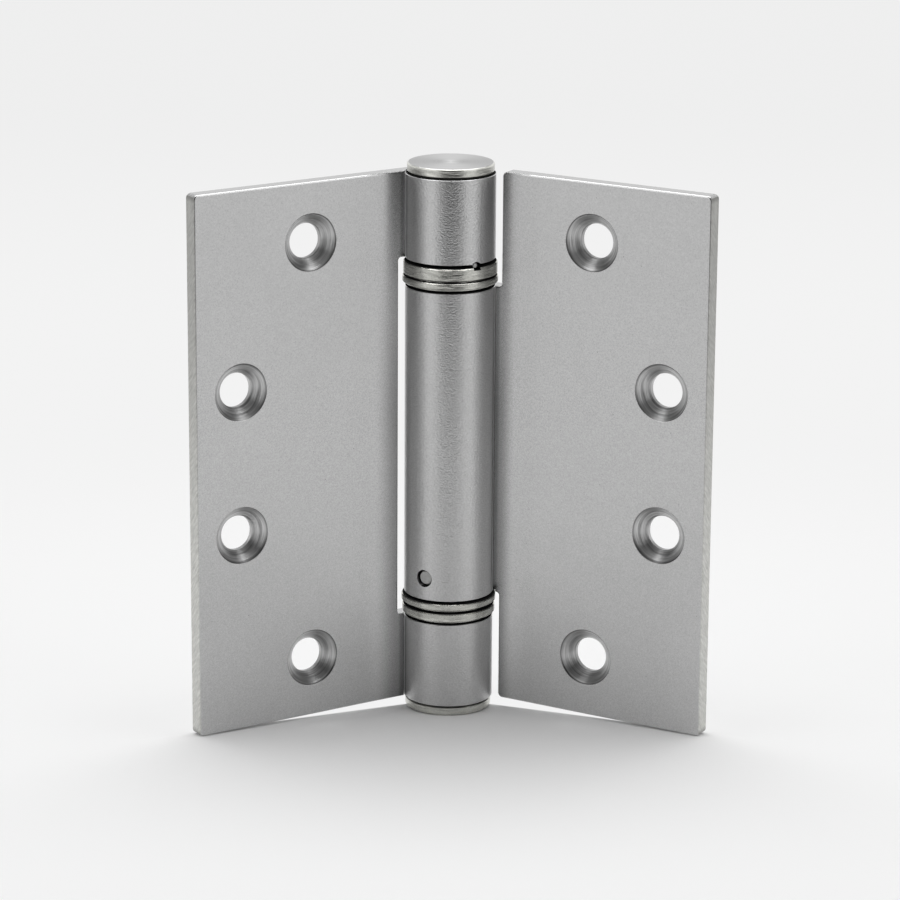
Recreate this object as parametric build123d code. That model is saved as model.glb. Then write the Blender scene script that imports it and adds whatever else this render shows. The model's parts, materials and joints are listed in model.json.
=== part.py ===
"""Spring hinge, single acting: two leaves rolled round one barrel that holds a torsion spring.

Millimetres, +Z up the pin axis. The origin is on the axis, at the underside of the bottom cap.
The frame leaf lies flat and runs along -X, with its countersunk face towards -Y.
The door leaf runs along +X when the hinge is laid flat open, and is drawn folded forward.
"""
import os
from math import asin, cos, degrees, radians, sin, tan

from build123d import *

# Leaves
leaf_height = 114.3
leaf_width = 57.15  # pin axis to the free edge, so 114.3 across both leaves when open flat
sheet = 3.4
barrel_dia = 18.8
rest_fold = 63.5  # degrees that the door leaf is folded forward from flat open
corner_round = 1.0
edge_round = 0.35
relief_reach = 8.85  # pin axis to the edge of the cut-out that clears the other leaf's knuckles
frame_relief_drops = (0.6, 0.4)  # how far the cut-out's lower and upper ends lie below the faced knuckles
door_relief_drops = (1.0, 0.65)
relief_root = 4.0  # this near to the axis, the sheet keeps the knuckle's own length
relief_round = 0.7
seam_gap = 0.12  # between the end of the rolled knuckle and the face of its own leaf
seam_round = 0.3

# Knuckles of the frame leaf, and what is stacked between them
top_knuckle_length = 17.8
bottom_knuckle_length = 18.0
spot_face_depth = 1.2  # the bottom knuckle is faced back, so that the hinge stands on its cap
spot_face_margin = 0.1
end_break = 0.1
upper_collar_thickness = 2.9
lower_collar_thickness = 2.0
collar_dia = 19.6
washer_thickness = 1.65
washer_dia = 19.9
ring_break = 0.2
ring_land = 0.28  # each ring bears on a raised land on its underside, which leaves a groove below its rim
ring_land_inset = 0.8
upper_collar_play = 0.67
upper_stack_play = 0.1  # collar to bearing washer
lower_collar_play = 0.45
lower_stack_play = 0.5
barrel_play = 0.55  # barrel to each bearing washer
ring_clearance = 0.15  # from the rings to the sheet beside them

# Caps
cap_dia = 18.1
cap_height = 2.2
cap_round = 0.4
cap_break = 0.3
cap_groove = 0.35  # height and depth of the step under the cap's rim
cap_lip_break = 0.2
cap_plug_length = 4.5

# Screw holes, four to a leaf
screw_hole_dia = 7.3
countersink_dia = 12.2
countersink_angle = 90
outer_hole_spacing = 89.1
inner_hole_spacing = 30.4
outer_hole_reach = 30.0  # pin axis to the holes near the leaf's ends
inner_hole_reach = 46.65  # pin axis to the two middle holes

# Fits, as radial clearances
press_clearance = 0.02
turn_clearance = 0.05

# Bushes, pivots and the tension arbor
bush_wall = 0.95
upper_bush_length = 8.0
upper_bush_depth = 0.2
pivot_dia = 6.0
pivot_reach = 7.6  # how far the lower pivot stands up inside the barrel
bush_end_gap = 0.4
plug_depth = 0.3  # the anchor plug sits this far up inside the barrel
plug_length = 11.0
nose_dia = 7.3
nose_length = 4.6
arbor_end_gap = 0.3
hub_length = 1.5
tang_slot_clearance = 0.1
slot_floor_radius = 2.1

# Tension stop: a pin through the arbor, caught in a notch of the top knuckle
stop_pin_dia = 1.4
stop_pin_outer = 9.0
stop_pin_inner = 3.2
stop_pin_end = 0.4  # rounding of its outer end
stop_notch_dia = 2.5
stop_azimuth = -88  # degrees from +X
stop_drop = 0.3  # the pin's centre is this far below the knuckle's end
stop_notch_drop = 0.65  # and the notch's centre this far
tension_holes = 6
pocket_clearance = 0.15

# Anchor pin: through the barrel wall into the anchor plug
anchor_pin_dia = 3.1
anchor_hole_dia = 3.7  # in the barrel wall, which the pin passes with room to spare
anchor_pin_height = 4.7  # above the barrel's lower end
anchor_pin_azimuth = -92.5  # degrees from the reach of the door leaf
anchor_pin_recess = 0.7
anchor_pin_inner = 4.15
anchor_pin_break = 0.2

# Torsion spring, of rectangular wire
wire_radial = 2.0
wire_axial = 2.5
spring_wall_gap = 0.25  # coil to barrel bore
coil_gap = 0.3
spring_washer_thickness = 0.8
spring_end_gap = 0.1
tang_inner = 2.4

# Guide rod inside the spring
guide_gap = 0.5  # rod to the inside of the coils
guide_spigot_dia = 2.6
guide_spigot_length = 3.0
guide_end_gap = 0.3

# Sizes worked out from those above
barrel_r = barrel_dia / 2
bore_r = barrel_r - sheet
leaf_bottom = cap_height - spot_face_depth
leaf_top = leaf_bottom + leaf_height
bottom_knuckle = (cap_height, cap_height + bottom_knuckle_length)
top_knuckle = (leaf_top - top_knuckle_length, leaf_top)
lower_collar_bottom = bottom_knuckle[1] + lower_collar_play
lower_collar = (lower_collar_bottom, lower_collar_bottom + lower_collar_thickness)
upper_collar_top = top_knuckle[0] - upper_collar_play
upper_collar = (upper_collar_top - upper_collar_thickness, upper_collar_top)
lower_washer_bottom = lower_collar[1] + lower_stack_play
lower_washer = (lower_washer_bottom, lower_washer_bottom + washer_thickness)
upper_washer_top = upper_collar[0] - upper_stack_play
upper_washer = (upper_washer_top - washer_thickness, upper_washer_top)
barrel = (lower_washer[1] + barrel_play, upper_washer[0] - barrel_play)
curl_end = degrees(asin((bore_r - seam_gap) / barrel_r))

plug_bottom = barrel[0] + plug_depth
plug_top = plug_bottom + plug_length
plug_nose_top = plug_top + nose_length
pivot_top = barrel[0] + pivot_reach
upper_bush_top = barrel[1] - upper_bush_depth
upper_bush_bottom = upper_bush_top - upper_bush_length
arbor_shoulder = barrel[1]
arbor_top = leaf_top - cap_plug_length - arbor_end_gap
hub_bottom = upper_bush_bottom - hub_length
arbor_nose_bottom = hub_bottom - nose_length
journal_r = bore_r - turn_clearance
neck_r = bore_r - press_clearance - bush_wall - turn_clearance

coil_outer = bore_r - spring_wall_gap
coil_mean = coil_outer - wire_radial / 2
coil_inner = coil_outer - wire_radial
coil_bottom = plug_top + spring_washer_thickness + spring_end_gap + wire_axial / 2
coil_top = hub_bottom - spring_washer_thickness - spring_end_gap - wire_axial / 2
coil_turns = round((coil_top - coil_bottom) / (wire_axial + coil_gap))
coil_pitch = (coil_top - coil_bottom) / coil_turns
stop_pin_z = top_knuckle[0] - stop_drop
stop_notch_z = top_knuckle[0] - stop_notch_drop
anchor_pin_z = barrel[0] + anchor_pin_height
guide_bottom = plug_nose_top + guide_end_gap
guide_top = arbor_nose_bottom - guide_end_gap


def drum(radius, bottom, top):
    """A plain round bar on the pin axis."""
    return Pos(0, 0, (bottom + top) / 2) * Cylinder(radius, top - bottom)


def turned(points):
    """A solid of revolution from the (radius, height) points of its section."""
    return revolve(make_face(Polyline([(r, 0, z) for r, z in points], close=True).edges()), Axis.Z)


def slab(x_range, y_range, z_range):
    """A box from its limits."""
    sizes = [high - low for low, high in (x_range, y_range, z_range)]
    middle = [(low + high) / 2 for low, high in (x_range, y_range, z_range)]
    return Pos(*middle) * Box(*sizes)


def radial_bar(radius, inner, outer, z, azimuth):
    """A round bar that points out from the axis at a height, with azimuth in degrees from +X."""
    along = Pos((inner + outer) / 2, 0, z) * Rot(0, 90, 0) * Cylinder(radius, outer - inner)
    return Rot(0, 0, azimuth) * along


def radial_turned(points, z, azimuth):
    """A turned piece that points out from the axis, from (radius, distance from the pin axis) points."""
    return Rot(0, 0, azimuth) * Pos(0, 0, z) * Rot(0, 90, 0) * turned(points)


def near(items, x, y):
    """The item whose middle is nearest to a point of the flat drawing."""
    return min(items, key=lambda item: (item.center() - Vector(x, y, 0)).length)


def knuckle(bottom, top):
    """One rolled knuckle: the sheet leaves the flat of the leaf tangentially behind the axis,
    goes round the pin and stops short of the leaf's own front face."""
    reach = 4 * barrel_r
    tip_x, tip_y = cos(radians(curl_end)), sin(radians(curl_end))
    mouth = Polyline((0, 0), (reach * tip_x, reach * tip_y), (0, reach), close=True)
    curl = Circle(barrel_r) - Circle(bore_r) - make_face(mouth.edges())
    curl = fillet(near(curl.vertices(), barrel_r * tip_x, barrel_r * tip_y), seam_round)
    blank = turned([
        (0, bottom), (barrel_r - end_break, bottom), (barrel_r, bottom + end_break),
        (barrel_r, top - end_break), (barrel_r - end_break, top), (0, top),
    ])
    return Pos(0, 0, bottom) * extrude(curl, amount=top - bottom) & blank


def leaf_plate(outline):
    """The flat of a leaf from (reach, height, rounding) corners, with all its edges rounded."""
    flat = make_face(Polyline([corner[:2] for corner in outline], close=True).edges())
    for reach, height, rounding in outline:
        if rounding:
            flat = fillet(near(flat.vertices(), reach, height), rounding)
    body = extrude(Plane.XZ.offset(-barrel_r) * flat, amount=sheet)
    faces = body.faces().sort_by(Axis.Y)
    rim = faces[0].outer_wire().edges() + faces[-1].outer_wire().edges()
    return fillet([edge for edge in rim if edge.center().X > edge_round], edge_round)


def relief_end(knuckle_end, drop):
    """One end of the cut-out as corners of the outline, from the knuckle's end at the axis outwards."""
    return [
        (0, knuckle_end, 0),
        (relief_root, knuckle_end, 0),
        (relief_root, knuckle_end - drop, 0),
        (relief_reach, knuckle_end - drop, relief_round),
    ]


def ring_room(ring_span):
    """What the facing cutter takes from the sheet beside a ring."""
    return drum(washer_dia / 2 + ring_clearance, ring_span[0], ring_span[1] + ring_clearance)


def screw_places():
    """(reach, height) of each screw hole."""
    middle = (leaf_bottom + leaf_top) / 2
    places = []
    for reach, spacing in ((outer_hole_reach, outer_hole_spacing), (inner_hole_reach, inner_hole_spacing)):
        places += [(reach, middle + side * spacing / 2) for side in (-1, 1)]
    return places


def screw_cutter(reach, height):
    """A countersunk hole through the sheet, with its wide end at the front face."""
    hole_r, sink_r = screw_hole_dia / 2, countersink_dia / 2
    depth = (sink_r - hole_r) / tan(radians(countersink_angle / 2))
    points = [(0, -1), (sink_r, -1), (sink_r, 0), (hole_r, depth), (hole_r, sheet + 1), (0, sheet + 1)]
    return Pos(reach, bore_r, height) * Rot(-90, 0, 0) * turned(points)


def rolled_leaf(outline, knuckle_spans):
    """A leaf and its knuckles, laid along +X with the front face towards -Y."""
    body = leaf_plate(outline)
    for bottom, top in knuckle_spans:
        body += knuckle(bottom, top)
    for reach, height in screw_places():
        body -= screw_cutter(reach, height)
    return body


def frame_leaf():
    """The leaf with the two short end knuckles."""
    body = rolled_leaf(
        [
            (0, leaf_bottom, 0),
            (leaf_width, leaf_bottom, corner_round),
            (leaf_width, leaf_top, corner_round),
            (0, leaf_top, 0),
            *relief_end(top_knuckle[0], frame_relief_drops[1]),
            *reversed(relief_end(bottom_knuckle[1], frame_relief_drops[0])),
        ],
        [bottom_knuckle, top_knuckle],
    )
    body -= drum(barrel_r + spot_face_margin, leaf_bottom - 1, bottom_knuckle[0])
    body -= ring_room(upper_collar)
    body = mirror(body, Plane.YZ)
    return body - radial_bar(stop_notch_dia / 2, bore_r - 1, barrel_r + 1, stop_notch_z, stop_azimuth)


def door_leaf():
    """The leaf with the long middle knuckle, which is the spring's barrel."""
    body = rolled_leaf(
        [
            *relief_end(barrel[0], door_relief_drops[0]),
            (relief_reach, leaf_bottom, corner_round),
            (leaf_width, leaf_bottom, corner_round),
            (leaf_width, leaf_top, corner_round),
            (relief_reach, leaf_top, corner_round),
            *reversed(relief_end(barrel[1], door_relief_drops[1])),
        ],
        [barrel],
    )
    body -= ring_room(lower_washer)
    hole_r = anchor_hole_dia / 2
    return body - radial_bar(hole_r, bore_r - 1, barrel_r + 1, anchor_pin_z, anchor_pin_azimuth)


def on_door(shape):
    """Turns a piece of the door leaf's side from flat open to where it rests."""
    return Rot(0, 0, -rest_fold) * shape


def cap():
    """A cap, with its head above z = 0 and its plug below."""
    rim_r, foot_r = cap_dia / 2, cap_dia / 2 - cap_groove
    head = turned([
        (0, 0), (foot_r, 0), (foot_r, cap_groove), (rim_r - cap_lip_break, cap_groove),
        (rim_r, cap_groove + cap_lip_break), (rim_r, cap_height), (0, cap_height),
    ])
    head = fillet(head.edges().group_by(Axis.Z)[-1], cap_round)
    plug_r = bore_r - press_clearance
    plug = turned([
        (0, 0), (plug_r, 0), (plug_r, cap_break - cap_plug_length), (plug_r - cap_break, -cap_plug_length),
        (0, -cap_plug_length),
    ])
    return head + plug


def ring(dia, span):
    """A flat ring with broken outer edges and a land on its underside."""
    rim_r, bore = dia / 2, bore_r + press_clearance
    land_r = rim_r - ring_land_inset
    bottom, top = span
    rim_bottom = bottom + ring_land
    return turned([
        (bore, bottom), (land_r, bottom), (land_r, rim_bottom), (rim_r - ring_break, rim_bottom),
        (rim_r, rim_bottom + ring_break), (rim_r, top - ring_break), (rim_r - ring_break, top), (bore, top),
    ])


def upper_collar_ring():
    """The thick ring under the top knuckle, with a slot across it for the stop pin."""
    body = ring(collar_dia, upper_collar)
    half = stop_pin_dia / 2 + pocket_clearance
    slot = slab((0, collar_dia), (-half, half), (stop_pin_z - half, upper_collar[1] + 1))
    return body - Rot(0, 0, stop_azimuth) * slot


def tang_slot(bottom, top):
    """The slot in a nose that takes the spring's bent end."""
    half = wire_radial / 2 + tang_slot_clearance
    return slab((slot_floor_radius, nose_dia), (-half, half), (bottom, top))


def guide_socket(bottom, top):
    """The centre hole in a nose that steadies the guide rod."""
    return drum(guide_spigot_dia / 2 + turn_clearance, bottom, top)


def tension_arbor():
    """The turned bar that holds the spring's upper end, from the top cap down into the barrel."""
    nose_r = nose_dia / 2
    body = turned([
        (0, arbor_nose_bottom), (nose_r, arbor_nose_bottom), (nose_r, hub_bottom), (neck_r, hub_bottom),
        (neck_r, arbor_shoulder), (journal_r, arbor_shoulder), (journal_r, arbor_top - cap_break),
        (journal_r - cap_break, arbor_top), (0, arbor_top),
    ])
    for number in range(tension_holes):
        azimuth = stop_azimuth + number * 360 / tension_holes
        body -= radial_bar(stop_pin_dia / 2 + turn_clearance, stop_pin_inner, barrel_r, stop_pin_z, azimuth)
    body -= tang_slot(arbor_nose_bottom - 1, hub_bottom - spring_washer_thickness)
    return body - guide_socket(arbor_nose_bottom - 1, arbor_nose_bottom + guide_spigot_length)


def stop_pin():
    """The pin that holds the arbor against the spring, with a rounded outer end."""
    inner = stop_pin_inner + turn_clearance
    pin = radial_bar(stop_pin_dia / 2, inner, stop_pin_outer, stop_pin_z, stop_azimuth)
    rims = pin.edges().filter_by(GeomType.CIRCLE).sort_by(lambda edge: edge.center().length)
    return fillet(rims[-1], stop_pin_end)


def lower_pivot():
    """The pin that is pressed into the bottom knuckle and stands up into the barrel."""
    body_r = bore_r - press_clearance
    bottom = cap_height + cap_plug_length + arbor_end_gap
    shoulder = lower_washer[1] - pocket_clearance
    return turned([
        (0, bottom), (body_r - cap_break, bottom), (body_r, bottom + cap_break), (body_r, shoulder),
        (pivot_dia / 2, shoulder), (pivot_dia / 2, pivot_top - cap_break),
        (pivot_dia / 2 - cap_break, pivot_top), (0, pivot_top),
    ])


def bush(outer, inner, bottom, top):
    """A plain sleeve."""
    return drum(outer, bottom, top) - drum(inner, bottom - 1, top + 1)


def anchor_plug():
    """The plug in the barrel's lower end that holds the spring's lower end."""
    outer, nose_r = bore_r - press_clearance, nose_dia / 2
    socket_r = pivot_dia / 2 + turn_clearance + bush_wall + press_clearance
    body = turned([
        (0, plug_bottom), (outer - cap_break, plug_bottom), (outer, plug_bottom + cap_break),
        (outer, plug_top), (nose_r, plug_top), (nose_r, plug_nose_top), (0, plug_nose_top),
    ])
    body -= drum(socket_r, plug_bottom - 1, pivot_top + bush_end_gap)
    socket = anchor_pin_dia / 2 + press_clearance
    body -= radial_bar(socket, anchor_pin_inner, barrel_r, anchor_pin_z, anchor_pin_azimuth)
    body = on_door(body)
    body -= tang_slot(plug_top + spring_washer_thickness, plug_nose_top + 1)
    return body - guide_socket(plug_nose_top - guide_spigot_length, plug_nose_top + 1)


def anchor_pin():
    """The pin in the anchor plug, whose end stands in the barrel wall, below the surface."""
    radius, inner = anchor_pin_dia / 2, anchor_pin_inner + press_clearance
    outer = barrel_r - anchor_pin_recess
    points = [
        (0, inner), (radius, inner), (radius, outer - anchor_pin_break), (radius - anchor_pin_break, outer),
        (0, outer),
    ]
    return on_door(radial_turned(points, anchor_pin_z, anchor_pin_azimuth))


def torsion_spring():
    """Rectangular wire wound round the guide rod, with each end bent in towards the axis."""
    path = Pos(0, 0, coil_bottom) * Helix(coil_pitch, coil_top - coil_bottom, coil_mean)
    section = Plane(
        origin=(coil_mean, 0, coil_bottom), x_dir=(1, 0, 0), z_dir=(0, 1, 0)
    ) * Rectangle(wire_radial, wire_axial)
    coil = sweep(section, path=path, is_frenet=True)
    half = wire_radial / 2
    for z in (coil_bottom, coil_top):
        side = 1 if z == coil_bottom else -1
        coil += slab((tang_inner, coil_mean), (-half, half), (z - wire_axial / 2, z + wire_axial / 2))
        coil += slab((coil_inner, coil_outer), (min(0, side * half), max(0, side * half)),
                     (z - wire_axial / 2, z + wire_axial / 2))
    return coil


def guide_rod():
    """The loose bar inside the spring that keeps the coils from buckling."""
    rod_r, spigot_r = coil_inner - guide_gap, guide_spigot_dia / 2
    reach = guide_spigot_length - guide_end_gap
    return turned([
        (0, guide_bottom - reach), (spigot_r, guide_bottom - reach), (spigot_r, guide_bottom),
        (rod_r, guide_bottom), (rod_r, guide_top), (spigot_r, guide_top), (spigot_r, guide_top + reach),
        (0, guide_top + reach),
    ])


def spring_washer(bottom):
    """The thin washer between one end of the spring and its shoulder."""
    inner = nose_dia / 2 + turn_clearance
    return bush(coil_outer, inner, bottom, bottom + spring_washer_thickness)


def pieces():
    """Every node by its name."""
    upper_bush_r = bore_r - press_clearance
    lower_bush_inner = pivot_dia / 2 + turn_clearance
    return {
        "frame_leaf": frame_leaf(),
        "door_leaf": on_door(door_leaf()),
        "top_cap": Pos(0, 0, leaf_top) * cap(),
        "bottom_cap": Pos(0, 0, cap_height) * Rot(180, 0, 0) * cap(),
        "tension_arbor": tension_arbor(),
        "tension_stop_pin": stop_pin(),
        "upper_thrust_collar": upper_collar_ring(),
        "upper_bearing_washer": ring(washer_dia, upper_washer),
        "lower_bearing_washer": ring(washer_dia, lower_washer),
        "lower_thrust_collar": ring(collar_dia, lower_collar),
        "lower_pivot": lower_pivot(),
        "upper_bush": bush(upper_bush_r, upper_bush_r - bush_wall, upper_bush_bottom, upper_bush_top),
        "lower_bush": bush(lower_bush_inner + bush_wall, lower_bush_inner, plug_bottom, pivot_top),
        "spring_anchor_plug": anchor_plug(),
        "anchor_pin": anchor_pin(),
        "torsion_spring": torsion_spring(),
        "spring_guide_rod": guide_rod(),
        "upper_spring_washer": spring_washer(hub_bottom - spring_washer_thickness),
        "lower_spring_washer": spring_washer(plug_top),
    }


os.makedirs("parts", exist_ok=True)
for name, shape in pieces().items():
    export_step(shape, f"parts/{name}.step")
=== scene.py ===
"""Looks for the spring hinge: satin steel, soft studio light and the photograph's camera."""
import json
import math
from types import SimpleNamespace

import bpy
from mathutils import Matrix, Vector


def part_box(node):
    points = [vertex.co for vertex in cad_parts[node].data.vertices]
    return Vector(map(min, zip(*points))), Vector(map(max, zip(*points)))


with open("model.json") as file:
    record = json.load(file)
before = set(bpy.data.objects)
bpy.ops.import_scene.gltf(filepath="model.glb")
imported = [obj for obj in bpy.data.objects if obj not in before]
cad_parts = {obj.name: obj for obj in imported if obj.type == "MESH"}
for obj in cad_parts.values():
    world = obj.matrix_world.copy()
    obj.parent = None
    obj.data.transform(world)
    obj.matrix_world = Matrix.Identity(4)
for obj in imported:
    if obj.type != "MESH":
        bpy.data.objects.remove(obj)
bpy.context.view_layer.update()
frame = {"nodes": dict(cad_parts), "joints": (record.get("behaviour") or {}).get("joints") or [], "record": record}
MM = 0.001
UP = Vector((0.0, 0.0, 1.0))

# What the hinge measures, read from the frame
FOLD = math.radians(frame["joints"][0]["range_deg"][1])
LEAF_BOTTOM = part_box("frame_leaf")[0].z
LEAF_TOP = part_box("frame_leaf")[1].z
LEAF_MIDDLE = (LEAF_BOTTOM + LEAF_TOP) / 2
LEAF_WIDTH = -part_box("frame_leaf")[0].x
CAP_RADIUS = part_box("top_cap")[1].x


def hole_place(kind):
    """(reach from the pin axis, height from the leaf's middle) of a pair of screw holes."""
    mounts = {mount["name"]: mount for mount in frame["record"]["mounts"]}
    screws = mounts[f"frame_leaf_{kind}_screws"]
    return -screws["pos_m"][0], screws["dims"]["spacing_y_mm"] * MM / 2


HOLES = [hole_place("outer"), hole_place("inner")]
KNUCKLE_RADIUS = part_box("frame_leaf")[1].x
BACK_DEPTH = KNUCKLE_RADIUS  # a leaf's back runs straight on from its knuckles
HINGE_MIDDLE = (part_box("bottom_cap")[0].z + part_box("top_cap")[1].z) / 2

# What the frame doesn't give: a countersink's wide end, the front face from the pin axis, a cap's rim above
# its groove, and how far inside the cap's rim the floor touches it
SINK_RADIUS = 6.1 * MM
FRONT_DEPTH = 6.0 * MM
CAP_RIM_HEIGHT = 1.85 * MM
FOOT_INSET = 0.4 * MM
CAP_GROOVE_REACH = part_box("top_cap")[1].z - CAP_RIM_HEIGHT - HINGE_MIDDLE  # from the hinge's middle

# The photograph's camera
CAMERA_PLACE = Vector((-420.03, -650.18, 269.37)) * MM
CAMERA_TURN = math.radians(32.876)
CAMERA_DIP = math.radians(15.418)
CAMERA_ROLL = math.radians(0.35)
SENSOR = 36.0
LENS = 152.9
CLIP = (0.05, 50.0)

# The floor touches the bottom cap and leans, as the hinge does in the photograph. Away from the hinge it
# fades, over distances in metres, from its own shade to a plain pale tone, and further off to a darker one
FLOOR_LEAN = math.radians(3.5)
FLOOR_SIZE = 8.0
FLOOR_TONE, FLOOR_ROUGHNESS = 0.95, 0.9
FLOOR_FADE, FAR_FADE = (0.03, 0.32), (0.45, 1.1)
PALE, FAR_PALE = 0.895, 0.86

# Painted light on the floor under each leaf, in millimetres, as if light came through the gap there. It starts at
# a line under the leaf, which moves back along the leaf, and it is full as far as a depth and a reach and fades
# out beyond them
GAP_LINE, GAP_SLOPE = 4.2, 0.1
GAP_FRONT, GAP_BACK = (-0.4, 0.4), (22.0, 6.0)
GAP_NEAR, GAP_FAR = (0.0, 5.0), (75.0, 45.0)

# Surfaces: how bright the metal is, from 0 to 1, its roughness, and the depth of its marks in millimetres.
# The broken edges that look up get a painted highlight, and the gaps between knuckles and rings get painted shade
LEAF_TONE, LEAF_ROUGHNESS = 0.51, 0.25
KNUCKLE_ROUGHNESS = 0.3
SINK_TONE, SINK_ROUGHNESS = 0.44, 0.34
EDGE_TONE, EDGE_ROUGHNESS = 0.44, 0.4
CAP_TONE, CAP_ROUGHNESS = 0.55, 0.28
FACED_TONE = 0.52
RING_TONE, RING_ROUGHNESS = 0.49, 0.26
RIM_HIGHLIGHT_TONE = 0.8
GAP_SHADE_TONE = 0.03
EDGE_BLUE, TURNED_BLUE = 0.96, 0.935  # blue against red and green
STREAK_BUMP, TURNED_BUMP = 0.12, 0.02
GRAIN_BUMP, RIPPLE_BUMP, ARC_BUMP, SHEAR_BUMP = 0.005, 0.09, 0.07, 0.03

# Noises: features per millimetre, detail and roughness
GRAIN = (2.8, 2.0, 0.65)
MOTTLE = (0.55, 2.0, 0.5)
CLOUD = (0.06, 2.0, 0.5)
RIPPLE = (2.2, 2.0, 0.6)
ARCS = (1.0, 2.0, 0.6)
SHEARED = (1.4, 3.0, 0.65)
TURNED_LINES = (1.0, 3.0, 0.7)
STREAKS = (1.0, 3.0, 0.6)
FINE = (2.0, 2.0, 0.5)

# How noises are packed or drawn out: along an axis, across and along the turned arcs of a countersink,
# through the sheet and with its slant at a sheared edge, and from line to line of a turned piece
RIPPLE_STRETCH, STREAK_STRETCH = (1.0, 1.0, 1.5), (0.2, 0.2, 1.5)
ARCS_ACROSS, ARCS_ALONG = 2.4, 0.1
SHEAR_THROUGH, SHEAR_SLANT = 0.5, 1.2
LINES_ACROSS = 3.0

# How far the noises swing the tone, from end to end
GRAIN_SWING, MOTTLE_SWING, CLOUD_SWING, SHEAR_SWING, ARC_SWING = 0.26, 0.03, 0.03, 0.5, 1.0
LINE_SWING, STREAK_SWING, TURNED_GRAIN_SWING = 0.2, 0.5, 0.25
FACED_LINE_SWING, PLAIN_SWING = 0.3, 0.5

# What else changes the leaves' tone, as factors: its upper and lower ends, pits, the corners of the free edge
# and the lip of a countersink
END_LIFT, PIT_DARK, CORNER_DARK, LIP_DARK = 1.1, 0.6, 0.65, 0.6
PITS_PER_MM, PIT_RADIUS = 0.25, 0.16  # radius in millimetres

# Where a part of the surface begins, in millimetres beyond a measure of the hinge, or inside it where the
# number is below zero: first where it isn't there yet, then where it is fully there
KNUCKLE_FADE = (0.16, 0.06)
SINK_FADE, SINK_BACK_FADE, LIP_FADE = (0.0, -0.1), (-0.03, -0.1), (-0.35, -0.2)
EDGE_FADE, CORNER_FADE = (-0.3, -0.1), (-1.8, -0.6)
FRONT_FADE, FRONT_BACK_FADE = (-0.12, -0.04), (0.2, 0.1)
GROOVE_FADE = (0.03, 0.0)
FRONT_START = (6.0, 6.5)  # from the pin axis

# The upright share of a face's normal, from none of the effect to all of it: on ends square to the pin, and
# on rims against sides and against flat tops
END_NORMALS = (0.8, 0.95)
RIM_NORMALS, RIM_TOP_NORMALS = (0.12, 0.3), (0.97, 0.93)

# A cap's face has a painted highlight, as its turning marks would catch the light, both ways along this angle from
# +X, and at the centre
FACED_ANGLE = math.radians(57.0)
FACED_HIGHLIGHT = 0.42
FACED_SPOT_HIGHLIGHT, SPOT_FADE = 0.3, (2.6, 0.4)  # the fade in millimetres from the centre

# A leaf's front face is shaded as if it swept up towards its knuckle, and has painted shade there, stronger low
# down.
# In millimetres: where the sweep starts, how high it gets, and where the painted shade starts, all from the pin
# axis
FRAME_LEAF_SWEEP = (18.0, 2.45, 15.0)
DOOR_LEAF_SWEEP = (17.0, 2.05, 12.4)
SWEEP_FOOT, SWEEP_POWER = 7.5, 2.36
SHADE_FOOT = 8.5
SHADE_HEIGHTS = (102.0, 62.0)
PAINTED_SHADE = 0.45

# Low down the leaves are painted lighter, as light from the floor would make them, and their free edges go from
# darker at the top to lighter at the bottom
LOW_HEIGHTS, LOW_PAINTED_LIFT = (40.0, 14.0), 1.17
EDGE_HEIGHTS, EDGE_LIFTS = (104.0, 30.0), (0.88, 1.28)

# Where a knuckle's rolled end closes on its leaf: a painted highlight and a painted shade line on the knuckle, as
# angles about the pin and what they do to the tone, and the reach in millimetres of the strip of painted shade
# beside it
LIGHT_BY_SEAM = (math.radians(19.5), math.radians(21.0))
LIGHT_ENDS = (math.radians(60.0), math.radians(50.0))
DARK_BY_SEAM = (math.radians(12.0), math.radians(14.0))
SEAM_HIGHLIGHT, SEAM_SHADE = 1.9, 0.7
SEAM_STRIP, STRIP_SHADE = (8.9, 7.9), 0.55

# The studio's walls and ceiling as the camera and metal see them, faded by the sine of the height above the
# horizon, and the level at which they light the scene
WALL_FADE, CEILING_FADE = (0.0, 0.14), (0.30, 0.62)
CEILING = 0.2
WORLD_LIGHT = 0.4

# The lamps: metres from the middle of the leaves towards the camera, to its right and up, then width, height
# and watts
TOP_LIGHT = (-0.3, 0.0, 1.0, 1.3, 1.0, 9.0)
LEFT_LIGHT = (0.55, -0.95, 0.45, 0.7, 1.0, 1.2)
RIGHT_LIGHT = (0.55, 0.95, 0.45, 0.7, 1.0, 1.2)

# The dark card that reflections show: metres from the pin's foot, as above, and half its width and height
FLAG_PLACE = (0.30, 0.015, 0.16)
FLAG_HALF_WIDTH, FLAG_HALF_HEIGHT = 0.17, 0.16
FLAG_TONE = 0.02

# Colour and roughness of the pieces that hardly show
PIN_STEEL = ((0.36, 0.36, 0.355), 0.35)
BAR_STEEL = ((0.2, 0.2, 0.2), 0.4)
SPRING_STEEL = ((0.2, 0.2, 0.21), 0.45)
BUSH_METAL = ((0.6, 0.45, 0.25), 0.45)


def add(tree, kind, *inputs, **settings):
    """A shader node. Each input is a value or the output of another node, and None is left alone."""
    made = tree.nodes.new("ShaderNode" + kind)
    for name, value in settings.items():
        setattr(made, name, value)
    for index, value in enumerate(inputs):
        if isinstance(value, bpy.types.NodeSocket):
            tree.links.new(value, made.inputs[index])
        elif value is not None:
            made.inputs[index].default_value = value
    return made


def sums(tree, operation, *inputs):
    """The output of one Math node."""
    return add(tree, "Math", *inputs, operation=operation).outputs[0]


def times(tree, first, second):
    """The product of two numbers or outputs."""
    return sums(tree, "MULTIPLY", first, second)


def plus(tree, first, second):
    """The sum of two numbers or outputs."""
    return sums(tree, "ADD", first, second)


def minus(tree, first, second):
    """first less second."""
    return sums(tree, "SUBTRACT", first, second)


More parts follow.
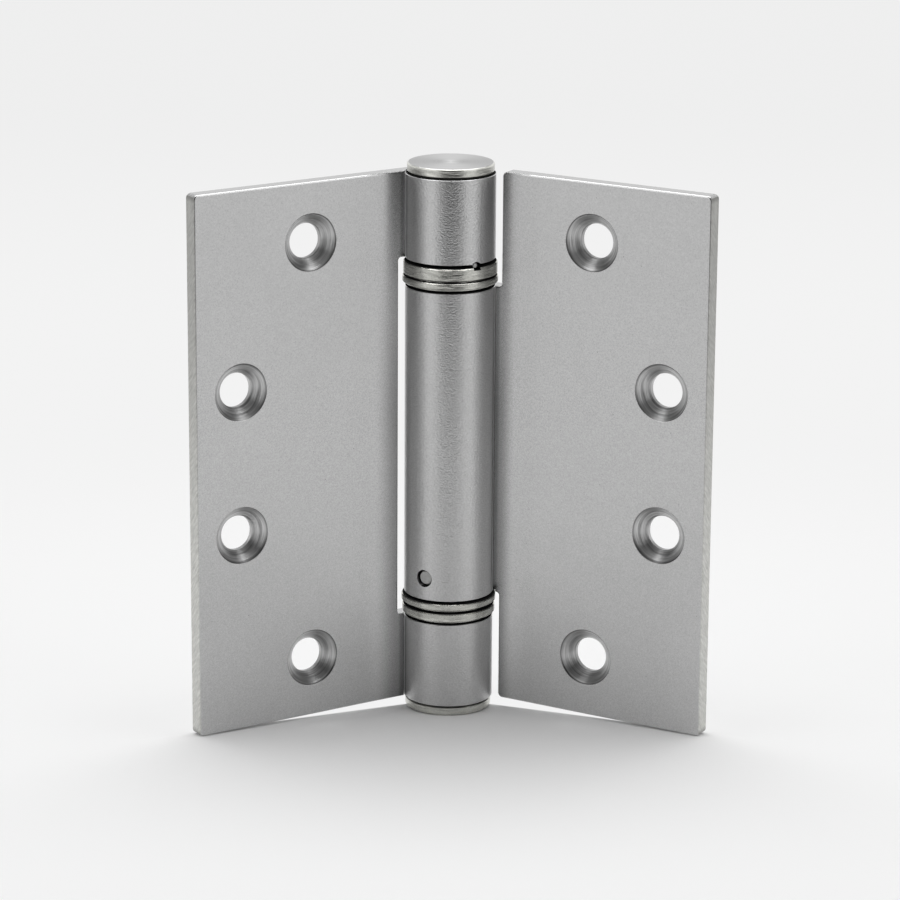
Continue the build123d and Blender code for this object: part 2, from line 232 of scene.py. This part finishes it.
def ramp(tree, value, low, high, start=0.0, end=1.0):
    """value carried from the range low to high into the range start to end, smoothly, with no overshoot."""
    made = add(tree, "MapRange", value, low, high, start, end, interpolation_type="SMOOTHSTEP")
    return made.outputs[0]


def border(tree, value, measure, fade):
    """0 to 1 between two distances from a measure. The measure is in metres, and the rest in millimetres."""
    return ramp(tree, value, measure / MM + fade[0], measure / MM + fade[1])


def noise(tree, vector, scale, detail, roughness):
    """Noise from 0 to 1, with scale in features per millimetre of its vector."""
    made = add(tree, "TexNoise", vector, None, scale, detail, roughness, noise_dimensions="3D")
    return made.outputs[0]


def vector_of(tree, x, y, z):
    """A vector from three numbers or outputs."""
    return add(tree, "CombineXYZ", x, y, z).outputs[0]


def stretched(tree, vector, factors):
    """A vector times one factor for each axis."""
    return add(tree, "VectorMath", vector, factors, operation="MULTIPLY").outputs[0]


def millimetres(tree, turn=0.0):
    """The object's own coordinates in millimetres, turned about the pin axis."""
    place = add(tree, "TexCoord").outputs["Object"]
    return add(tree, "VectorRotate", stretched(tree, place, (1 / MM,) * 3), None, None, turn,
               rotation_type="Z_AXIS").outputs[0]


def metal(name):
    """A new material with its tree and its metallic shader."""
    material = bpy.data.materials.new(name)
    material.use_nodes = True
    shader = material.node_tree.nodes["Principled BSDF"]
    shader.inputs["Metallic"].default_value = 1.0
    shader.inputs["Specular IOR Level"].default_value = 0.0
    return material, material.node_tree, shader


def opaque(level):
    """A plain colour of one brightness."""
    return (level, level, level, 1.0)


def grey(tree, value, tint):
    """A colour of one brightness, times a tint."""
    return stretched(tree, vector_of(tree, value, value, value), tint)


def bump(tree, shader, height):
    """Gives the shader a bump of a height in millimetres."""
    made = add(tree, "Bump")
    made.inputs["Distance"].default_value = MM
    tree.links.new(height, made.inputs["Height"])
    tree.links.new(made.outputs["Normal"], shader.inputs["Normal"])


def blend_value(tree, share, first, second):
    """first where share is 0, second where it is 1."""
    return add(tree, "Mix", share, None, first, second, data_type="FLOAT").outputs[0]


def seen_directly(tree):
    """1 for what the camera sees, also in metal or through glass, and 0 for what only lights the part."""
    path = add(tree, "LightPath")
    seen = sums(tree, "MAXIMUM", path.outputs["Is Camera Ray"], path.outputs["Is Glossy Ray"])
    return sums(tree, "MAXIMUM", seen, path.outputs["Is Transmission Ray"])


def varied(tree, level, *swings):
    """A level that swings with (noise, full width of the swing) pairs."""
    for value, width in swings:
        level = plus(tree, level, times(tree, minus(tree, value, 0.5), width))
    return level


def scaled(tree, value, mask, factor):
    """value where mask is 0, and value times factor where it is 1."""
    return times(tree, value, blend_value(tree, mask, 1.0, factor))


def square_to_pin(tree):
    """1 on faces square to the pin axis, 0 on broken edges and sides."""
    normal = add(tree, "NewGeometry").outputs["True Normal"]
    upright = add(tree, "SeparateXYZ", normal).outputs["Z"]
    return ramp(tree, sums(tree, "ABSOLUTE", upright), *END_NORMALS)


def upper_rim(tree):
    """1 on the broken edges that look up, where a highlight is painted, 0 on flat tops and on sides."""
    normal = add(tree, "NewGeometry").outputs["True Normal"]
    upright = add(tree, "SeparateXYZ", normal).outputs["Z"]
    return times(tree, ramp(tree, upright, *RIM_NORMALS), ramp(tree, upright, *RIM_TOP_NORMALS))


def specks(tree, place, per_mm, radius_mm):
    """1 in rare round pits of the surface."""
    cells = add(tree, "TexVoronoi", place, None, per_mm, feature="F1")
    distance = sums(tree, "DIVIDE", cells.outputs["Distance"], per_mm)
    return ramp(tree, distance, radius_mm, 0.5 * radius_mm)


def hole_offsets(tree, reach, from_middle):
    """Millimetres to the nearest screw hole, then the reach and the height from the inner holes alone."""
    distances = []
    for hole_reach, hole_height in HOLES:
        across = minus(tree, reach, hole_reach / MM)
        along = minus(tree, from_middle, hole_height / MM)
        offset = vector_of(tree, across, along, 0.0)
        distances.append(add(tree, "VectorMath", offset, operation="LENGTH").outputs["Value"])
    return sums(tree, "MINIMUM", *distances), across, along


def leaf_front(tree, reach, depth):
    """1 on a leaf's front face, 0 on the rest of the sheet and on the far side of the knuckles."""
    front = times(tree, border(tree, depth, FRONT_DEPTH, FRONT_FADE),
                  border(tree, depth, FRONT_DEPTH, FRONT_BACK_FADE))
    return times(tree, front, ramp(tree, reach, *FRONT_START))


def leaf_parts(tree, turn, side):
    """Places on a leaf in millimetres, and a mask from 0 to 1 for each part of its surface."""
    place = millimetres(tree, turn)
    axes = add(tree, "SeparateXYZ", place)
    reach = times(tree, axes.outputs["X"], side)
    depth = axes.outputs["Y"]
    height = axes.outputs["Z"]
    from_middle = sums(tree, "ABSOLUTE", minus(tree, height, LEAF_MIDDLE / MM))
    spread = sums(tree, "SQRT", plus(tree, times(tree, reach, reach), times(tree, depth, depth)))
    knuckle = border(tree, spread, KNUCKLE_RADIUS, KNUCKLE_FADE)
    nearest, across, along = hole_offsets(tree, reach, from_middle)
    sink = times(tree, border(tree, nearest, SINK_RADIUS, SINK_FADE),
                 border(tree, depth, BACK_DEPTH, SINK_BACK_FADE))
    return SimpleNamespace(
        place=place, reach=reach, depth=depth, height=height,
        around=sums(tree, "ARCTAN2", depth, reach),
        nearest=nearest, across=across, along=along,
        knuckle=knuckle,
        flat=minus(tree, 1.0, knuckle),
        front=leaf_front(tree, reach, depth),
        sink=sink,
        lip=times(tree, sink, border(tree, nearest, SINK_RADIUS, LIP_FADE)),
        edge=border(tree, reach, LEAF_WIDTH, EDGE_FADE),
        corner=border(tree, from_middle, LEAF_TOP - LEAF_MIDDLE, CORNER_FADE),
        rim=upper_rim(tree),
        gap=times(tree, knuckle, square_to_pin(tree)),
    )


def leaf_noises(tree, leaf):
    """The noises of the sheet, of its knuckles, of the arcs in its countersinks and of its sheared edges."""
    drawn_out = vector_of(tree, times(tree, leaf.nearest, ARCS_ACROSS), times(tree, leaf.across, ARCS_ALONG),
                          times(tree, leaf.along, ARCS_ALONG))
    slanting = vector_of(tree, times(tree, leaf.depth, SHEAR_THROUGH), 0.0,
                         plus(tree, leaf.height, times(tree, leaf.depth, SHEAR_SLANT)))
    return SimpleNamespace(
        grain=noise(tree, leaf.place, *GRAIN),
        mottle=noise(tree, leaf.place, *MOTTLE),
        cloud=noise(tree, leaf.place, *CLOUD),
        ripple=noise(tree, stretched(tree, leaf.place, RIPPLE_STRETCH), *RIPPLE),
        arcs=noise(tree, drawn_out, *ARCS),
        sheared=noise(tree, slanting, *SHEARED),
    )


def sheet_tone(tree, leaf, noises, shade_reach):
    """How bright a leaf's faces and knuckles are, with their painted light and shade, apart from its free edge,
    countersinks and gaps.
    """
    tone = varied(tree, LEAF_TONE, (noises.grain, GRAIN_SWING), (noises.mottle, MOTTLE_SWING),
                  (noises.cloud, CLOUD_SWING))
    tone = scaled(tree, tone, square_to_pin(tree), END_LIFT)
    # painted light low down on the leaves
    tone = scaled(tree, tone, times(tree, ramp(tree, leaf.height, *LOW_HEIGHTS), leaf.flat), LOW_PAINTED_LIFT)
    tone = scaled(tree, tone, specks(tree, leaf.place, PITS_PER_MM, PIT_RADIUS), PIT_DARK)
    # painted shade on the front face next to the knuckle, stronger low down
    shade = times(tree, ramp(tree, leaf.reach, shade_reach, SHADE_FOOT),
                  ramp(tree, leaf.height, *SHADE_HEIGHTS))
    tone = scaled(tree, tone, times(tree, leaf.front, shade), PAINTED_SHADE)
    # painted shade on the strip of front face beside the seam
    strip = times(tree, times(tree, leaf.front, ramp(tree, leaf.reach, *SEAM_STRIP)), leaf.flat)
    tone = scaled(tree, tone, strip, STRIP_SHADE)
    # painted highlight on the knuckle near its rolled end
    light = times(tree, ramp(tree, leaf.around, *LIGHT_BY_SEAM), ramp(tree, leaf.around, *LIGHT_ENDS))
    tone = scaled(tree, tone, times(tree, leaf.knuckle, light), SEAM_HIGHLIGHT)
    # painted shade line on the knuckle, just short of the painted highlight
    dark = times(tree, ramp(tree, leaf.around, *DARK_BY_SEAM),
                 ramp(tree, leaf.around, *reversed(LIGHT_BY_SEAM)))
    tone = scaled(tree, tone, times(tree, leaf.knuckle, dark), SEAM_SHADE)
    # painted highlight on the broken edges that look up
    return blend_value(tree, leaf.rim, tone, RIM_HIGHLIGHT_TONE)


def leaf_color(tree, leaf, noises, shade_reach):
    """A leaf's colour: the sheet, its free edge, its countersinks and its knuckles' ends, which get painted shade.
    """
    cut = scaled(tree, varied(tree, EDGE_TONE, (noises.sheared, SHEAR_SWING)), leaf.corner, CORNER_DARK)
    cut = times(tree, cut, ramp(tree, leaf.height, *EDGE_HEIGHTS, *EDGE_LIFTS))
    bored = scaled(tree, varied(tree, SINK_TONE, (noises.arcs, ARC_SWING)), leaf.lip, LIP_DARK)
    tone = blend_value(tree, leaf.edge, sheet_tone(tree, leaf, noises, shade_reach), cut)
    tone = blend_value(tree, leaf.sink, tone, bored)
    # painted shade, dark and not metallic, on the knuckles' ends, which lie in gaps
    tone = blend_value(tree, leaf.gap, tone, GAP_SHADE_TONE)
    return grey(tree, tone, vector_of(tree, 1.0, 1.0, blend_value(tree, leaf.edge, 1.0, EDGE_BLUE)))


def leaf_roughness(tree, leaf):
    """The roughness of each part of a leaf."""
    rough = blend_value(tree, leaf.knuckle, LEAF_ROUGHNESS, KNUCKLE_ROUGHNESS)
    rough = blend_value(tree, leaf.sink, rough, SINK_ROUGHNESS)
    return blend_value(tree, leaf.edge, rough, EDGE_ROUGHNESS)


def leaf_marks(tree, leaf, noises, sweep_reach, sweep_height):
    """The height of a leaf's marks and of its sweep, in millimetres."""
    marks = blend_value(tree, leaf.knuckle, times(tree, noises.grain, GRAIN_BUMP),
                        times(tree, noises.ripple, RIPPLE_BUMP))
    marks = blend_value(tree, leaf.rim, marks, 0.0)
    marks = blend_value(tree, leaf.sink, marks, times(tree, noises.arcs, ARC_BUMP))
    marks = blend_value(tree, leaf.edge, marks, times(tree, noises.sheared, SHEAR_BUMP))
    rise = add(tree, "MapRange", leaf.reach, sweep_reach, SWEEP_FOOT, 0.0, 1.0).outputs[0]
    sweep = times(tree, leaf.front, sums(tree, "POWER", rise, SWEEP_POWER))
    return plus(tree, marks, times(tree, sweep, sweep_height))


def leaf_metal(name, turn, side, sweep_reach, sweep_height, shade_reach):
    """Satin sheet steel, with turned countersinks, sheared edges and rippled knuckles, painted shade on the
    knuckle ends and by the knuckles, and painted highlights. turn lays the leaf along X, and side is -1 where it
    then runs towards -X. The rest, in millimetres, are where its sweep starts, how high it gets and where its
    painted shade starts."""
    material, tree, shader = metal(name)
    leaf = leaf_parts(tree, turn, side)
    noises = leaf_noises(tree, leaf)
    tree.links.new(leaf_color(tree, leaf, noises, shade_reach), shader.inputs["Base Color"])
    tree.links.new(minus(tree, 1.0, leaf.gap), shader.inputs["Metallic"])
    tree.links.new(leaf_roughness(tree, leaf), shader.inputs["Roughness"])
    bump(tree, shader, leaf_marks(tree, leaf, noises, sweep_reach, sweep_height))
    return material


def faced_tone(tree, flat, radius, lines):
    """The face of a cap: turning marks, with a painted highlight along one line and at the centre."""
    line = (math.cos(FACED_ANGLE), math.sin(FACED_ANGLE), 0.0)
    outward = add(tree, "VectorMath", flat, operation="NORMALIZE").outputs[0]
    along = add(tree, "VectorMath", outward, line, operation="DOT_PRODUCT").outputs["Value"]
    # painted highlight along the line and at the centre
    swing = times(tree, minus(tree, times(tree, along, along), 0.5), FACED_HIGHLIGHT)
    spot = times(tree, ramp(tree, radius, *SPOT_FADE), FACED_SPOT_HIGHLIGHT)
    level = plus(tree, varied(tree, 1.0, (lines, FACED_LINE_SWING)), plus(tree, swing, spot))
    return times(tree, level, FACED_TONE)


def turned_metal(name, tone_level, roughness, painted_shade_place):
    """Lathe-turned steel: fine rings on the flat faces and fine lines round the sides, painted highlights on the
    faces and on the broken edges that look up, and painted shade in the gaps. Its last argument gives, from the
    tree, 1 where a face lies in a gap."""
    material, tree, shader = metal(name)
    place = millimetres(tree)
    parts = add(tree, "SeparateXYZ", place)
    flat = vector_of(tree, parts.outputs["X"], parts.outputs["Y"], 0.0)
    radius = add(tree, "VectorMath", flat, operation="LENGTH").outputs["Value"]
    packed = vector_of(tree, times(tree, radius, LINES_ACROSS), 0.0,
                       times(tree, parts.outputs["Z"], LINES_ACROSS))
    lines = noise(tree, packed, *TURNED_LINES)
    streaks = noise(tree, stretched(tree, place, STREAK_STRETCH), *STREAKS)
    grain = noise(tree, place, *GRAIN)
    faced = square_to_pin(tree)
    tone = varied(tree, tone_level, (lines, LINE_SWING), (streaks, STREAK_SWING), (grain, TURNED_GRAIN_SWING))
    tone = blend_value(tree, faced, tone, faced_tone(tree, flat, radius, lines))
    # painted highlight on the broken edges that look up
    tone = blend_value(tree, upper_rim(tree), tone, RIM_HIGHLIGHT_TONE)
    # painted shade, dark and not metallic, on faces that lie in gaps
    gap = painted_shade_place(tree)
    tone = blend_value(tree, gap, tone, GAP_SHADE_TONE)
    tint = vector_of(tree, 1.0, 1.0, blend_value(tree, faced, TURNED_BLUE, 1.0))
    tree.links.new(grey(tree, tone, tint), shader.inputs["Base Color"])
    tree.links.new(minus(tree, 1.0, gap), shader.inputs["Metallic"])
    shader.inputs["Roughness"].default_value = roughness
    marks = plus(tree, times(tree, lines, TURNED_BUMP), times(tree, streaks, STREAK_BUMP))
    bump(tree, shader, blend_value(tree, faced, marks, 0.0))
    return material


def cap_groove(tree):
    """1 in the groove between a cap and its knuckle, where shade is painted."""
    height = add(tree, "SeparateXYZ", millimetres(tree)).outputs["Z"]
    from_middle = sums(tree, "ABSOLUTE", minus(tree, height, HINGE_MIDDLE / MM))
    return border(tree, from_middle, CAP_GROOVE_REACH, GROOVE_FADE)


def plain_metal(name, color, roughness):
    """Metal for the pieces that hardly show, with a fine grain."""
    material, tree, shader = metal(name)
    grain = noise(tree, millimetres(tree), *FINE)
    tree.links.new(grey(tree, varied(tree, 1.0, (grain, PLAIN_SWING)), color), shader.inputs["Base Color"])
    shader.inputs["Roughness"].default_value = roughness
    bump(tree, shader, times(tree, grain, GRAIN_BUMP))
    return material


def weigh_normals():
    """Flat faces shade flat, and only the rounded edges turn the light."""
    for node in frame["nodes"].values():
        weighing = node.modifiers.new("weighted_normals", "WEIGHTED_NORMAL")
        weighing.mode = "FACE_AREA_WITH_ANGLE"
        weighing.keep_sharp = True


def dress(material, *names):
    """Gives CAD nodes a material."""
    for name in names:
        mesh = frame["nodes"][name].data
        mesh.materials.clear()
        mesh.materials.append(material)


def dress_all():
    """Every node's material. A ring's flat ends lie in gaps, and a cap's gap is its groove; both get painted
    shade.
    """
    dress(leaf_metal("frame_leaf_steel", 0.0, -1.0, *FRAME_LEAF_SWEEP), "frame_leaf")
    dress(leaf_metal("door_leaf_steel", FOLD, 1.0, *DOOR_LEAF_SWEEP), "door_leaf")
    dress(turned_metal("cap_steel", CAP_TONE, CAP_ROUGHNESS, cap_groove), "top_cap", "bottom_cap")
    dress(turned_metal("ring_steel", RING_TONE, RING_ROUGHNESS, square_to_pin), "upper_thrust_collar",
          "upper_bearing_washer", "lower_bearing_washer", "lower_thrust_collar")
    dress(plain_metal("pin_steel", *PIN_STEEL), "tension_stop_pin", "anchor_pin")
    dress(plain_metal("bar_steel", *BAR_STEEL), "tension_arbor", "lower_pivot", "spring_anchor_plug",
          "spring_guide_rod", "upper_spring_washer", "lower_spring_washer")
    dress(plain_metal("spring_steel", *SPRING_STEEL), "torsion_spring")
    dress(plain_metal("bush_metal", *BUSH_METAL), "upper_bush", "lower_bush")


def make_camera():
    """The camera that the photograph was taken with."""
    data = bpy.data.cameras.new("camera")
    data.sensor_width = SENSOR
    data.lens = LENS
    data.clip_start, data.clip_end = CLIP
    level_ahead = Vector((math.sin(CAMERA_TURN), math.cos(CAMERA_TURN), 0.0))
    ahead = level_ahead * math.cos(CAMERA_DIP) - UP * math.sin(CAMERA_DIP)
    right = Vector((math.cos(CAMERA_TURN), -math.sin(CAMERA_TURN), 0.0))
    up = right.cross(ahead)
    rolled_right = right * math.cos(CAMERA_ROLL) + up * math.sin(CAMERA_ROLL)
    rolled_up = up * math.cos(CAMERA_ROLL) - right * math.sin(CAMERA_ROLL)
    turn = Matrix((rolled_right, rolled_up, -ahead)).transposed().to_4x4()
    camera = bpy.data.objects.new("camera", data)
    camera.matrix_world = Matrix.Translation(CAMERA_PLACE) @ turn
    bpy.context.scene.collection.objects.link(camera)
    bpy.context.scene.camera = camera


def front_direction():
    """Level, from the pin axis towards the camera."""
    return Vector((CAMERA_PLACE.x, CAMERA_PLACE.y, 0.0)).normalized()


def side_direction():
    """Level, to the camera's right."""
    front = front_direction()
    return Vector((-front.y, front.x, 0.0))


def painted_light_under_leaf(tree, turn, side):
    """1 on the floor under a leaf, where the gap lets it be seen, and where light is painted."""
    parts = add(tree, "SeparateXYZ", millimetres(tree, turn))
    reach = times(tree, parts.outputs["X"], side)
    front_line = plus(tree, GAP_LINE, times(tree, reach, GAP_SLOPE))
    behind = minus(tree, parts.outputs["Y"], front_line)
    lit = times(tree, ramp(tree, behind, *GAP_FRONT), ramp(tree, behind, *GAP_BACK))
    along = times(tree, ramp(tree, reach, *GAP_NEAR), ramp(tree, reach, *GAP_FAR))
    return times(tree, lit, along)


def card(name, corners):
    """A flat card with a new Principled material. Gives the card, its node tree and its shader."""
    mesh = bpy.data.meshes.new(name)
    mesh.from_pydata(corners, [], [(0, 1, 2, 3)])
    made = bpy.data.objects.new(name, mesh)
    material = bpy.data.materials.new(name)
    material.use_nodes = True
    mesh.materials.append(material)
    bpy.context.scene.collection.objects.link(made)
    return made, material.node_tree, material.node_tree.nodes["Principled BSDF"]


def make_floor():
    """A plain pale floor that touches the bottom cap and rises to just under the leaves' lowest corners, with
    painted light under the leaves.
    """
    half = FLOOR_SIZE / 2
    corners = [(-half, -half, 0), (half, -half, 0), (half, half, 0), (-half, half, 0)]
    floor, tree, shader = card("floor", corners)
    shader.inputs["Base Color"].default_value = opaque(FLOOR_TONE)
    shader.inputs["Roughness"].default_value = FLOOR_ROUGHNESS
    place = add(tree, "TexCoord").outputs["Object"]
    distance = add(tree, "VectorMath", place, operation="LENGTH").outputs["Value"]
    # painted light on the floor under the leaves, shown as the plain pale tone
    under = sums(tree, "MAXIMUM", painted_light_under_leaf(tree, 0.0, -1.0), painted_light_under_leaf(tree, FOLD, 1.0))
    lit = sums(tree, "MAXIMUM", ramp(tree, distance, *FLOOR_FADE), under)
    lit = times(tree, lit, seen_directly(tree))
    glow = add(tree, "Emission", opaque(1.0), ramp(tree, distance, *FAR_FADE, PALE, FAR_PALE))
    mixed = add(tree, "MixShader", lit, shader.outputs[0], glow.outputs[0])
    tree.links.new(mixed.outputs[0], tree.nodes["Material Output"].inputs["Surface"])

    left_corner = Vector((-LEAF_WIDTH, FRONT_DEPTH, 0.0))
    right_leaf = Vector((math.cos(FOLD), -math.sin(FOLD), 0.0))
    right_front = Vector((math.sin(FOLD), math.cos(FOLD), 0.0))
    right_corner = right_leaf * LEAF_WIDTH + right_front * FRONT_DEPTH
    uphill = (left_corner + right_corner).normalized()
    pivot = uphill * (CAP_RADIUS - FOOT_INSET)
    lean = Matrix.Rotation(FLOOR_LEAN, 4, uphill.cross(UP))
    floor.matrix_world = Matrix.Translation(pivot) @ lean @ Matrix.Translation(-pivot)


def softbox(name, ahead, aside, above, width, height, power):
    """A rectangular lamp that faces the middle of the leaves."""
    middle = Vector((0.0, 0.0, LEAF_MIDDLE))
    data = bpy.data.lights.new(name, "AREA")
    data.shape = "RECTANGLE"
    data.size = width
    data.size_y = height
    data.energy = power
    light = bpy.data.objects.new(name, data)
    light.location = middle + front_direction() * ahead + side_direction() * aside + UP * above
    light.rotation_euler = (middle - light.location).to_track_quat("-Z", "Y").to_euler()
    bpy.context.scene.collection.objects.link(light)


def make_lights():
    """One big softbox above and behind, and one on each side."""
    softbox("top_light", *TOP_LIGHT)
    softbox("left_light", *LEFT_LIGHT)
    softbox("right_light", *RIGHT_LIGHT)


def make_flag():
    """A dark card in front of the hinge, seen only as a reflection, between the hinge and the camera."""
    ahead, aside, above = FLAG_PLACE
    centre = front_direction() * ahead + side_direction() * aside + UP * above
    half_width, half_height = side_direction() * FLAG_HALF_WIDTH, UP * FLAG_HALF_HEIGHT
    flag, tree, shader = card("flag", [
        centre - half_width - half_height, centre + half_width - half_height,
        centre + half_width + half_height, centre - half_width + half_height,
    ])
    shader.inputs["Base Color"].default_value = opaque(FLAG_TONE)
    shader.inputs["Roughness"].default_value = 1.0
    flag.visible_camera = False
    flag.visible_diffuse = False
    flag.visible_shadow = False


def make_world():
    """Pale walls and a dim ceiling for the camera and for reflections, and a softer level as light."""
    world = bpy.data.worlds.new("world")
    world.use_nodes = True
    bpy.context.scene.world = world
    tree = world.node_tree
    background = tree.nodes["Background"]
    background.inputs["Color"].default_value = opaque(1.0)
    upward = add(tree, "SeparateXYZ", add(tree, "TexCoord").outputs["Generated"]).outputs["Z"]
    walls = ramp(tree, upward, *WALL_FADE, FAR_PALE, PALE)
    shown = blend_value(tree, ramp(tree, upward, *CEILING_FADE), walls, CEILING)
    strength = blend_value(tree, seen_directly(tree), WORLD_LIGHT, shown)
    tree.links.new(strength, background.inputs["Strength"])


make_camera()
make_world()
make_floor()
make_lights()
make_flag()
weigh_normals()
dress_all()

scene = bpy.context.scene
scene.view_settings.view_transform = "Standard"
